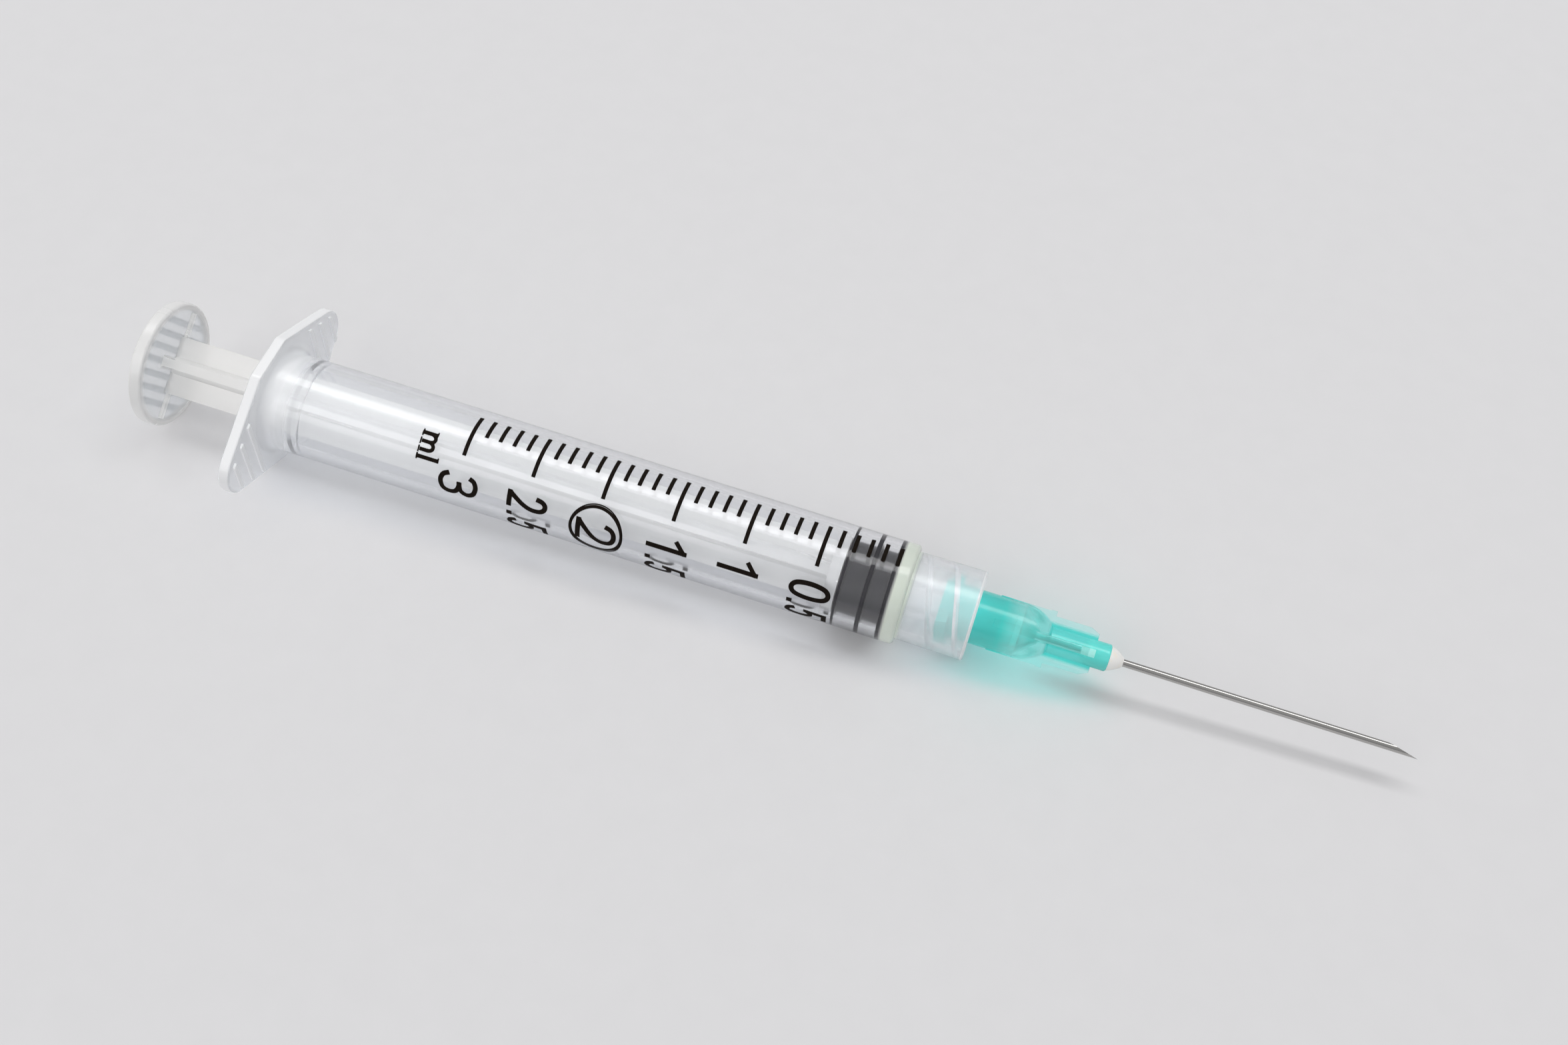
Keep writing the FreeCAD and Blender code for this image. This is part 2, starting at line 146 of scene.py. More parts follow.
class SyringeSizes(bpy.types.PropertyGroup):
    """Sizes of the pieces that are added to the solids."""

    thread_lead: FloatProperty(
        name="Thread lead", description="Advance of the lock thread in one turn", default=6.0 * MM,
        unit="LENGTH", precision=5)
    thread_starts: IntProperty(
        name="Thread starts", description="Number of ridges that run side by side", default=2)
    thread_station: FloatProperty(
        name="Thread station", description="Front flank of a ridge where it faces the camera",
        default=77.78 * MM, unit="LENGTH", precision=5)
    thread_root_r: FloatProperty(
        name="Thread root", description="Radius of the collar's inner wall, where the ridges stand",
        default=4.0 * MM, unit="LENGTH", precision=5)
    ridge_width: FloatProperty(
        name="Ridge width", description="Width of a thread ridge at its foot", default=0.62 * MM,
        unit="LENGTH", precision=5)
    ridge_height: FloatProperty(
        name="Ridge height", description="Height of a thread ridge", default=0.42 * MM,
        unit="LENGTH", precision=5)
    figure_height: FloatProperty(
        name="Figure height", description="Height of the scale's figures", default=4.65 * MM,
        unit="LENGTH", precision=5)
    pen_width: FloatProperty(
        name="Pen width", description="Width of the strokes of the figures", default=0.56 * MM,
        unit="LENGTH", precision=5)
    mark_width: FloatProperty(
        name="Mark width", description="Width of the scale's printed marks", default=0.45 * MM,
        unit="LENGTH", precision=5)
    mark_count: IntProperty(
        name="Mark count", description="Number of steps on the scale", default=30)
    unit_station: FloatProperty(
        name="Unit station", description="Foot of the unit's letters along the barrel",
        default=19.7 * MM, unit="LENGTH", precision=5)
    unit_height: FloatProperty(
        name="Unit height", description="Height of the unit's tallest letter", default=2.8 * MM,
        unit="LENGTH", precision=5)
    ring_mark: IntProperty(
        name="Ringed mark", description="Step of the scale whose figure has a ring", default=20)
    ring_length: FloatProperty(
        name="Ring length", description="Length of the printed ring along the barrel", default=6.2 * MM,
        unit="LENGTH", precision=5)
    ring_line: FloatProperty(
        name="Ring line", description="Width of the printed ring's line", default=0.14 * MM,
        unit="LENGTH", precision=5)
    ink_thickness: FloatProperty(
        name="Ink thickness", description="Thickness of the printed ink", default=0.03 * MM,
        unit="LENGTH", precision=5)
    contact_widths: FloatVectorProperty(
        name="Contact widths", default=(0.28 * MM, 0.46 * MM, 0.64 * MM), unit="LENGTH", precision=5,
        description="Widths of the bands where the seal's ribs press on the bore")


class SyringeFinishes(bpy.types.PropertyGroup):
    """Colours of the finishes."""

    barrel_colour: FloatVectorProperty(
        name="Barrel", description="Tint of the clear polypropylene", subtype="COLOR",
        default=(0.97, 0.975, 0.985), min=0, max=1)
    thick_colour: FloatVectorProperty(
        name="Thick barrel", description="Tint of the clear polypropylene where it is thick",
        subtype="COLOR", default=(0.86, 0.92, 0.82), min=0, max=1)
    rod_colour: FloatVectorProperty(
        name="Plunger rod", description="Colour of the milky polypropylene", subtype="COLOR",
        default=(0.93, 0.925, 0.915), min=0, max=1)
    press_colour: FloatVectorProperty(
        name="Thumb press", description="Tint of the thin, clearer press", subtype="COLOR",
        default=(0.91, 0.94, 0.97), min=0, max=1)
    rubber_colour: FloatVectorProperty(
        name="Seal", description="Colour of the rubber", subtype="COLOR",
        default=(0.010, 0.009, 0.013), min=0, max=1)
    ink_colour: FloatVectorProperty(
        name="Ink", description="Colour of the printed scale", subtype="COLOR",
        default=(0.009, 0.006, 0.004), min=0, max=1)
    hub_colour: FloatVectorProperty(
        name="Hub", description="Tint of the green polypropylene", subtype="COLOR",
        default=(0.15, 0.80, 0.76), min=0, max=1)
    fin_colour: FloatVectorProperty(
        name="Hub fins", description="Tint of the hub's thin fins", subtype="COLOR",
        default=(0.84, 0.985, 0.98), min=0, max=1)
    adhesive_colour: FloatVectorProperty(
        name="Adhesive", description="Colour of the set adhesive", subtype="COLOR",
        default=(0.98, 0.97, 0.94), min=0, max=1)
    steel_colour: FloatVectorProperty(
        name="Cannula", description="Colour of the steel", subtype="COLOR",
        default=(0.50, 0.49, 0.475), min=0, max=1)


class SyringeStage(bpy.types.PropertyGroup):
    """The table, the lamps, the room and the camera."""

    floor_colour: FloatVectorProperty(
        name="Table", description="Colour of the table top", subtype="COLOR",
        default=(0.78, 0.775, 0.785), min=0, max=1)
    floor_size: FloatProperty(
        name="Table size", description="Side of the square table top", default=12.0, unit="LENGTH")
    key_power: FloatProperty(
        name="Key lamp", description="Power of the long soft lamp above", default=8.6, unit="POWER")
    key_place: FloatVectorProperty(
        name="Key place", description="Place of the long soft lamp", default=(0.0, 0.425, 1.25),
        subtype="XYZ")
    key_size: FloatVectorProperty(
        name="Key size", description="Length and width of the long soft lamp", size=2,
        default=(1.9, 0.40), unit="LENGTH")
    fill_power: FloatProperty(
        name="Fill lamp", description="Power of the broad lamp at the front left", default=6.0,
        unit="POWER")
    fill_place: FloatVectorProperty(
        name="Fill place", description="Place of the broad lamp", default=(-0.75, -1.12, 1.05),
        subtype="XYZ")
    fill_size: FloatVectorProperty(
        name="Fill size", description="Length and width of the broad lamp", size=2,
        default=(1.12, 1.12), unit="LENGTH")
    room_strength: FloatProperty(
        name="Room", description="Strength of the light from all round", default=0.48)
    room_low: FloatVectorProperty(
        name="Room below", description="Colour of the room at the horizon", subtype="COLOR",
        default=(0.60, 0.61, 0.64), min=0, max=1)
    room_high: FloatVectorProperty(
        name="Room above", description="Colour of the room overhead", subtype="COLOR",
        default=(1.0, 1.0, 1.0), min=0, max=1)
    backdrop: FloatVectorProperty(
        name="Backdrop", description="Colour seen beyond the table", subtype="COLOR",
        default=(0.70, 0.695, 0.705), min=0, max=1)
    fade_start: FloatProperty(
        name="Fade start", default=0.25, unit="LENGTH",
        description="Distance at which the table begins to take the backdrop's colour")
    fade_end: FloatProperty(
        name="Fade end", default=0.9, unit="LENGTH",
        description="Distance at which the table has the backdrop's colour")
    lens: FloatProperty(
        name="Lens", description="Focal length in millimetres on a sensor 36 mm wide", default=37.97)
    camera_place: FloatVectorProperty(
        name="Camera place", description="Place of the camera", default=(0.0268, -0.0936, 0.1581),
        subtype="XYZ", precision=4)
    camera_right: FloatVectorProperty(
        name="Camera right", description="Direction to the camera's right",
        default=(0.94899, 0.31252, 0.04178), subtype="XYZ", precision=5)
    camera_back: FloatVectorProperty(
        name="Camera back", description="Direction from the view to the camera",
        default=(0.13961, -0.53529, 0.83305), subtype="XYZ", precision=5)


class NodeTree:
    """A new material's nodes: its shader, its output and short ways to add and join nodes."""

    def __init__(self, name):
        self.material = bpy.data.materials.new(name)
        self.material.use_nodes = True
        self.tree = self.material.node_tree
        self.tree.nodes.clear()
        self.output = self.tree.nodes.new("ShaderNodeOutputMaterial")
        self.shader = self.tree.nodes.new("ShaderNodeBsdfPrincipled")
        self.place = self.tree.nodes.new("ShaderNodeTexCoord").outputs["Object"]
        self.join(self.shader.outputs["BSDF"], self.output.inputs["Surface"])

    def join(self, source, target):
        """Links two sockets."""
        self.tree.links.new(source, target)

    def set(self, **values):
        """Sets the shader's own sockets, named in lower case with underscores."""
        for name, value in values.items():
            socket = self.shader.inputs[name.replace("_", " ").title().replace("Ior", "IOR")]
            is_colour = hasattr(value, "__len__") and len(value) == 3
            socket.default_value = (*value, 1) if is_colour else value

    def add(self, kind, **inputs):
        """Adds a node and sets or joins its inputs by name."""
        node = self.tree.nodes.new(kind)
        for name, value in inputs.items():
            socket = node.inputs[name.replace("_", " ")]
            if isinstance(value, bpy.types.NodeSocket):
                self.join(value, socket)
            else:
                socket.default_value = value
        return node

    def stretched(self, along, around_axis):
        """Object coordinates turned to the syringe's axis, scaled along it and across it."""
        turn = Matrix((AXIS, ACROSS, UP))
        centred = self.add("ShaderNodeMapping", Vector=self.place)
        centred.inputs["Rotation"].default_value = turn.to_euler()
        centred.inputs["Location"].default_value = -(turn @ REAR)
        scaled = self.add("ShaderNodeMapping", Vector=centred.outputs["Vector"])
        scaled.inputs["Scale"].default_value = (along, around_axis, around_axis)
        return scaled.outputs["Vector"]

    def station_and_radius(self):
        """Station along the syringe's axis and distance from it, both in millimetres."""
        split = self.add("ShaderNodeSeparateXYZ", Vector=self.stretched(1 / MM, 1 / MM))
        across = self.times(split.outputs["Y"], split.outputs["Y"])
        up = self.times(split.outputs["Z"], split.outputs["Z"])
        return split.outputs["X"], self.math("POWER", self.total(across, up), 0.5)

    def side(self):
        """1 where the surface faces away from the axis, 0 where it faces along it."""
        normal = self.tree.nodes.new("ShaderNodeTexCoord").outputs["Normal"]
        dot = self.tree.nodes.new("ShaderNodeVectorMath")
        dot.operation = "DOT_PRODUCT"
        self.join(normal, dot.inputs[0])
        dot.inputs[1].default_value = AXIS
        return self.ranged(self.math("ABSOLUTE", dot.outputs["Value"], 0.0), 1.0, 0.0, 0.3, 0.7)

    def noise(self, vector, scale, detail=3.0, roughness=0.55):
        """Noise from 0 to 1 over a vector, with that scale."""
        node = self.add("ShaderNodeTexNoise", Vector=vector, Scale=scale, Detail=detail,
                        Roughness=roughness)
        return node.outputs["Fac"]

    def ranged(self, value, low, high, start=0.0, end=1.0):
        """Value carried from the range start to end onto the range low to high, held at its ends."""
        node = self.tree.nodes.new("ShaderNodeMapRange")
        self.join(value, node.inputs["Value"])
        node.inputs["From Min"].default_value = start
        node.inputs["From Max"].default_value = end
        node.inputs["To Min"].default_value = low
        node.inputs["To Max"].default_value = high
        return node.outputs["Result"]

    def math(self, operation, first, second):
        """First and second, each a socket or a number, joined by a sum, product or other operation."""
        node = self.tree.nodes.new("ShaderNodeMath")
        node.operation = operation
        for value, socket in zip((first, second), node.inputs):
            if isinstance(value, bpy.types.NodeSocket):
                self.join(value, socket)
            else:
                socket.default_value = value
        return node.outputs["Value"]

    def times(self, first, second):
        """Product of two values."""
        return self.math("MULTIPLY", first, second)

    def total(self, *values):
        """Sum of several values."""
        result = values[0]
        for value in values[1:]:
            result = self.math("ADD", result, value)
        return result

    def band(self, station, start, end, soft):
        """1 between two stations given in metres, falling to 0 over a soft length outside each."""
        rise = self.ranged(station, 0.0, 1.0, (start - soft) / MM, start / MM)
        fall = self.ranged(station, 1.0, 0.0, end / MM, (end + soft) / MM)
        return self.times(rise, fall)

    def absorb(self, colour, density):
        """Fills the piece with a tint that deepens with the way through it."""
        volume = self.tree.nodes.new("ShaderNodeVolumeAbsorption")
        volume.inputs["Color"].default_value = (*colour, 1)
        volume.inputs["Density"].default_value = density
        self.join(volume.outputs["Volume"], self.output.inputs["Volume"])

    def blend(self, factor, first, second):
        """Colour between two colours."""
        node = self.tree.nodes.new("ShaderNodeMix")
        node.data_type = "RGBA"
        self.join(factor, node.inputs["Factor"])
        for colour, name in ((first, "A"), (second, "B")):
            socket = next(s for s in node.inputs if s.name == name and s.type == "RGBA")
            if isinstance(colour, bpy.types.NodeSocket):
                self.join(colour, socket)
            else:
                socket.default_value = (*colour, 1)
        return next(s for s in node.outputs if s.type == "RGBA")

    def bump(self, height, strength, distance):
        """Joins a bump of that height in metres to the shader's normal."""
        node = self.add("ShaderNodeBump", Height=height, Strength=strength, Distance=distance)
        self.join(node.outputs["Normal"], self.shader.inputs["Normal"])

    def pass_lamps(self, tint):
        """Lets the lamps' light through to what lies behind, tinted, as thin clear plastic does."""
        clear = self.tree.nodes.new("ShaderNodeBsdfTransparent")
        clear.inputs["Color"].default_value = (*tint, 1)
        mix = self.tree.nodes.new("ShaderNodeMixShader")
        path = self.tree.nodes.new("ShaderNodeLightPath")
        self.join(path.outputs["Is Shadow Ray"], mix.inputs["Fac"])
        self.join(self.shader.outputs["BSDF"], mix.inputs[1])
        self.join(clear.outputs["BSDF"], mix.inputs[2])
        self.join(mix.outputs["Shader"], self.output.inputs["Surface"])


def clear_polypropylene(finishes):
    """Glossy clear plastic that clouds where the moulding is thick.

    The cloud is a sum of bands along the axis: milky in the finger flange, most of all on its
    rim and its grip ribs, fading along the barrel from its foot, greenish white in the wall
    in front of the seal, faint in the collar and strong again at its rim. The extra cloud on
    the flange's rim and ribs and on the collar's rim is a painted highlight on these edges.
    Faint flow lines run along the barrel.
    """
    m = NodeTree("clear_polypropylene")
    station, radius = m.station_and_radius()
    crisp = 0.05 * MM
    wall = m.band(station, WALL_START, WALL_END, 0.35 * MM)
    wing = m.band(station, -1.0 * MM, 3.0 * MM, 1.6 * MM)
    outside = m.ranged(radius, 0.0, 1.0, OUTER_R / MM + 1.0, OUTER_R / MM + 1.6)
    # The grip ribs and the flange's outer rim get extra cloud on top of the flange's milky plastic: a
    # painted highlight along these edges
    rib_highlight = m.times(m.band(station, FLANGE_FRONT + 0.07 * MM, FLANGE_FRONT + 0.4 * MM, crisp), outside)
    plate = m.band(station, -1.0 * MM, FLANGE_FRONT + crisp, crisp)
    edge_highlight = m.times(m.times(m.side(), outside), plate)
    collar = m.band(station, WALL_END + 0.3 * MM, COLLAR_END + MM, 0.3 * MM)
    # The collar's front rim gets extra cloud: a painted highlight on its edge
    rim_highlight = m.band(station, COLLAR_END - 0.28 * MM, COLLAR_END + 0.1 * MM, 0.1 * MM)
    lines = m.ranged(m.noise(m.stretched(0.01, 1.0), 400.0, 1.0), 0.01, 0.03)
    foot = m.ranged(station, 0.12, 0.0, 3.0, 45.0)
    cloud = m.total(lines, foot, m.times(wall, 0.70), m.times(wing, 0.36), m.times(rib_highlight, 0.5),
                    m.times(edge_highlight, 0.5), m.times(collar, 0.20), m.times(rim_highlight, 0.4))
    m.join(m.ranged(cloud, 1.0, 0.0), m.shader.inputs["Transmission Weight"])
    m.join(m.blend(wall, finishes.barrel_colour, finishes.thick_colour), m.shader.inputs["Base Color"])
    rough = m.total(m.ranged(lines, 0.10, 0.13, 0.01, 0.03), m.times(collar, 0.10), m.times(wing, 0.08))
    m.join(rough, m.shader.inputs["Roughness"])
    m.set(ior=1.49)
    m.absorb(colour=(0.30, 0.40, 0.58), density=22.0)
    m.pass_lamps(tint=(0.93, 0.94, 0.95))
    return m.material


def thread_polypropylene(finishes):
    """The collar's clear plastic in the lock thread, a little whiter than the wall behind it."""
    m = NodeTree("thread_polypropylene")
    m.set(base_color=finishes.barrel_colour, ior=1.49, transmission_weight=0.84)
    m.join(m.ranged(m.noise(m.place, 1500.0), 0.08, 0.16), m.shader.inputs["Roughness"])
    m.pass_lamps(tint=(0.96, 0.96, 0.97))
    return m.material


def milky_polypropylene(finishes):
    """Satin, milky plastic with faint flow streaks along the rod, clearer and cooler in the thin press.

    The press is clear enough to show the ridges on its back, except at its rim, which is made milky white as
    a painted highlight on its edge.
    """
    m = NodeTree("milky_polypropylene")
    station, radius = m.station_and_radius()
    streaks = m.noise(m.stretched(0.05, 1.0), 500.0, 2.0)
    press = m.band(station, PRESS_FRONT - 3 * MM, PRESS_FRONT - 0.05 * MM, 0.1 * MM)
    rim_start, rim_full = PRESS_R / MM - 0.9, PRESS_R / MM - 0.5
    face = m.times(press, m.ranged(radius, 1.0, 0.0, rim_start, rim_full))
    # The press's rim is made milky white: a painted highlight on its edge
    rim_highlight = m.times(press, m.ranged(radius, 0.0, 1.0, rim_start, rim_full))
    m.join(m.blend(face, finishes.rod_colour, finishes.press_colour), m.shader.inputs["Base Color"])
    ridges = m.ranged(station, 1.0, 0.0, PRESS_REAR / MM + 0.1, PRESS_REAR / MM + 0.25)
    clear = m.total(m.ranged(streaks, 0.50, 0.46), m.times(face, 0.44), m.times(rim_highlight, -0.34),
                    m.times(ridges, -0.84))
    m.join(clear, m.shader.inputs["Transmission Weight"])
    m.join(m.total(m.ranged(streaks, 0.22, 0.30), m.times(face, -0.17)), m.shader.inputs["Roughness"])
    m.set(ior=1.49)
    m.pass_lamps(tint=(0.72, 0.72, 0.72))
    return m.material


def seal_rubber(finishes):
    """Dark rubber with the faint sheen of its silicone film."""
    m = NodeTree("seal_rubber")
    cloud = m.noise(m.place, 900.0, 4.0)
    pale = tuple(c * 1.5 for c in finishes.rubber_colour)
    m.join(m.blend(m.ranged(cloud, 0.0, 1.0, 0.3, 0.7), finishes.rubber_colour, pale),
           m.shader.inputs["Base Color"])
    m.join(m.ranged(m.noise(m.place, 3000.0), 0.40, 0.55), m.shader.inputs["Roughness"])
    m.bump(m.noise(m.place, 6000.0), 0.15, 0.01 * MM)
    m.set(specular_ior_level=0.12)
    return m.material


def scale_ink(finishes):
    """Dark printed ink, a little thin in places."""
    m = NodeTree("scale_ink")
    thin = m.noise(m.place, 5200.0, 5.0)
    worn = tuple(c * 2.0 + 0.004 for c in finishes.ink_colour)
    m.join(m.blend(m.ranged(thin, 0.0, 1.0, 0.5, 0.75), finishes.ink_colour, worn),
           m.shader.inputs["Base Color"])
    m.join(m.ranged(thin, 0.5, 0.8), m.shader.inputs["Roughness"])
    m.set(specular_ior_level=0.05)
    return m.material


def green_polypropylene(finishes):
    """Tinted plastic of the hub, a little cloudy in its body and clearer in its thin fins.

    The wall of its well shows the pale adhesive that is bonded to it.
    """
    m = NodeTree("green_polypropylene")
    station, radius = m.station_and_radius()
    swirl = m.noise(m.stretched(0.35, 1.0), 600.0, 3.0)
    deep = tuple(c * 0.95 for c in finishes.hub_colour)
    body = m.blend(m.ranged(swirl, 0.0, 1.0, 0.3, 0.7), finishes.hub_colour, deep)
    fin_start, fin_full = 85.5, 88.5
    fin_foot_r, fin_edge_r = 1.7, 2.1
    fins = m.times(m.ranged(station, 0.0, 1.0, fin_start, fin_full),
                   m.ranged(radius, 0.0, 1.0, fin_foot_r, fin_edge_r))
    well_r = 1.2
    within = m.ranged(radius, 1.0, 0.0, well_r, well_r + 0.1)
    well = m.times(m.band(station, BEAD_START, HUB_END - 0.1 * MM, 0.05 * MM), within)
    plastic = m.blend(fins, body, finishes.fin_colour)
    m.join(m.blend(well, plastic, finishes.adhesive_colour), m.shader.inputs["Base Color"])
    clear = m.total(0.55, m.times(fins, 0.35), m.times(well, -0.55))
    m.join(clear, m.shader.inputs["Transmission Weight"])
    m.join(m.ranged(m.noise(m.place, 1100.0), 0.14, 0.20), m.shader.inputs["Roughness"])
    m.set(ior=1.49)
    m.absorb(colour=(0.04, 0.92, 0.89), density=170.0)
    m.pass_lamps(tint=(0.70, 0.96, 0.95))
    return m.material


def white_adhesive(finishes):
    """Glossy white adhesive, a little creamier in places."""
    m = NodeTree("white_adhesive")
    cloud = m.noise(m.place, 1300.0, 3.0)
    cream = tuple(c * share for c, share in zip(finishes.adhesive_colour, (1.0, 0.95, 0.86)))
    m.join(m.blend(m.ranged(cloud, 0.0, 1.0, 0.45, 0.8), finishes.adhesive_colour, cream),
           m.shader.inputs["Base Color"])
    m.bump(m.noise(m.place, 900.0, 2.0), 0.25, 0.05 * MM)
    m.join(m.ranged(cloud, 0.15, 0.3), m.shader.inputs["Roughness"])
    m.set(coat_weight=0.4, coat_roughness=0.12)
    return m.material


def cannula_steel(finishes):
    """Drawn and polished steel with fine lengthwise scratches."""
    m = NodeTree("cannula_steel")
    scratches = m.noise(m.stretched(0.01, 1.0), 5000.0, 4.0)
    m.join(m.ranged(scratches, 0.17, 0.24), m.shader.inputs["Roughness"])
    dull = tuple(c * 0.86 for c in finishes.steel_colour)
    m.join(m.blend(m.ranged(scratches, 0.0, 1.0, 0.4, 0.7), finishes.steel_colour, dull),
           m.shader.inputs["Base Color"])
    m.set(metallic=1.0)
    return m.material


FINISHES = {
    "barrel": clear_polypropylene,
    "graduation": scale_ink,
    "plunger_seal": seal_rubber,
    "plunger_rod": milky_polypropylene,
    "needle_hub": green_polypropylene,
    "adhesive_bead": white_adhesive,
    "cannula": cannula_steel,
}
MADE = {}


def finish(make, context):
    """The material of a finish, made at its first use."""
    if make.__name__ not in MADE:
        MADE[make.__name__] = make(context.scene.syringe_finishes)
    return MADE[make.__name__]


def surface_object(name, points, faces, material, body, smooth=True):
    """A new piece from points and faces, finished with a material and riding on a body."""
    mesh = bpy.data.meshes.new(name)
    mesh.from_pydata(points.reshape(-1, 3).tolist(), [], faces.tolist())
    mesh.polygons.foreach_set("use_smooth", np.full(len(mesh.polygons), smooth))
    mesh.materials.append(material)
    mesh.update()
    return add_piece(name, mesh, body)


def add_piece(name, mesh, body):
    """Links a mesh as a piece of the object and hangs it on its body."""
    piece = bpy.data.objects.new(name, mesh)
    bpy.context.scene.collection.objects.link(piece)
    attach(piece, body)
    return piece


def grid_faces(rows, columns, wrap_rows, wrap_columns):
    """Quads of a grid of points that is stored row by row, closed in either direction if asked."""
    row = np.arange(rows if wrap_rows else rows - 1)
    column = np.arange(columns if wrap_columns else columns - 1)
    row, column = np.meshgrid(row, column, indexing="ij")
    next_row = (row + 1) % rows
    next_column = (column + 1) % columns
    corners = [row * columns + column, row * columns + next_column,
               next_row * columns + next_column, next_row * columns + column]
    return np.stack([c.ravel() for c in corners], axis=1)


def thread_ridge(sizes, start_station, end_station, angle_shift):
    """Points of one ridge: a buttress profile carried along a helix on the collar's inner wall.

    The helix advances one lead a turn. The profile's foot is sunk a little into the wall, its
    back slopes gently to a narrow crest and its front flank is steep. Its height falls
    smoothly to nothing over the ridge's last eighth of a turn at either end.
    """
    turns = (end_station - start_station) / sizes.thread_lead
    share = np.linspace(0, 1, int(turns * THREAD_STEPS) + 1)
    station = start_station + share * (end_station - start_station)
    angle = FACING + angle_shift + 360 * (station - sizes.thread_station) / sizes.thread_lead
    eighths_from_end = np.minimum(share, 1 - share) * turns * 8
    rise = np.sin(np.clip(eighths_from_end, 0.03, 1) * math.pi / 2)
    back = np.array([1.0, 0.5, 0.24, 0.12, 0.0]) * sizes.ridge_width
    height = np.array([0.0, 0.72, 1.0, 1.0, 0.0]) * sizes.ridge_height
    sunk = np.array([0.04, 0.0, 0.0, 0.0, 0.04]) * MM
    radius = sizes.thread_root_r + sunk[None, :] - rise[:, None] * height[None, :]
    return around(station[:, None] - back[None, :], angle[:, None], radius)


class SYRINGE_OT_finish_solids(bpy.types.Operator):
    """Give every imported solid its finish"""

    bl_idname = "syringe.finish_solids"
    bl_label = "Finish the solids"

    def execute(self, context):
        for name, make in FINISHES.items():
            for slot in frame["nodes"][name].material_slots:
                slot.material = finish(make, context)
        return {"FINISHED"}


class SYRINGE_OT_collar_thread(bpy.types.Operator):
    """Add the double thread inside the locking collar"""

    bl_idname = "syringe.collar_thread"
    bl_label = "Lock thread"

    def execute(self, context):
        sizes = context.scene.syringe_sizes
        material = finish(thread_polypropylene, context)
        first = SEAL_END + THREAD_SETBACK
        last = COLLAR_END - THREAD_INSET
        for number in range(sizes.thread_starts):
            shift = number * 360 / sizes.thread_starts
            points = thread_ridge(sizes, first, last, shift)
            rows, columns = points.shape[:2]
            faces = grid_faces(rows, columns, False, True)
            piece = surface_object(f"collar_thread_{number + 1}", points, faces, material,
                                   "barrel", smooth=False)
            close_and_orient(piece.data)
        return {"FINISHED"}


def close_and_orient(mesh):
    """Closes the open ends of a mesh and points its faces outwards."""
    work = bmesh.new()
    work.from_mesh(mesh)
    bmesh.ops.holes_fill(work, edges=[e for e in work.edges if e.is_boundary])
    bmesh.ops.recalc_face_normals(work, faces=work.faces)
    work.to_mesh(mesh)
    work.free()


class SYRINGE_OT_seal_contact(bpy.types.Operator):
    """Add the bands where the seal's ribs press on the bore"""

    bl_idname = "syringe.seal_contact"
    bl_label = "Seal contact"

    def execute(self, context):
        sizes = context.scene.syringe_sizes
        material = finish(seal_rubber, context)
        station = stations("plunger_seal")
        crowns = np.sort(station[radii("plunger_seal") > SEAL_CROWN_R - 0.001 * MM])
        groups = np.split(crowns, np.where(np.diff(crowns) > MM)[0] + 1)
        for number, (group, width) in enumerate(zip(groups, sizes.contact_widths)):
            points = contact_band(float(group.mean()), width)
            rows, columns = points.shape[:2]
            faces = grid_faces(rows, columns, True, True)
            piece = surface_object(f"seal_contact_{number + 1}", points, faces, material,
                                   "seal")
            close_and_orient(piece.data)
        return {"FINISHED"}


def contact_band(station, width):
    """Points of a flat ring round the axis, its outer face pressed just into the bore's wall.

    The section is a trapezium, wider at the seal than at the wall, carried once round.
    """
    angle = np.linspace(0, 360, BAND_STEPS, endpoint=False)
    profile_x = np.array([-0.6, -0.5, 0.5, 0.6]) * width
    profile_r = SEAL_CROWN_R + np.array([-0.05, 0.05, 0.05, -0.05]) * MM
    return around(station + profile_x[None, :], angle[:, None], profile_r[None, :])


# Each figured step of the scale with its signs, and each letter of the unit: the sign, the angle
# of its left side from the angle that faces the camera, and the angle that its width covers
FIGURES = (
    (30, (("3", 20.0, 30.0),)),
    (25, (("2", 20.0, 21.0), (".", 48.5, 5.0), ("5", 59.0, 21.0))),
    (20, (("2", 27.0, 29.5),)),
    (15, (("1", 19.5, 19.0), (".", 48.0, 5.0), ("5", 59.0, 21.0))),
    (10, (("1", 17.5, 19.5),)),
    (5, (("0", 17.6, 24.0), (".", 46.0, 5.0), ("5", 57.0, 20.0))),
)
UNIT = (("m", -16.0, 27.0), ("l", 10.0, 10.5))
RING_ANGLE = 6.0
RING_WIDTH = 68.0

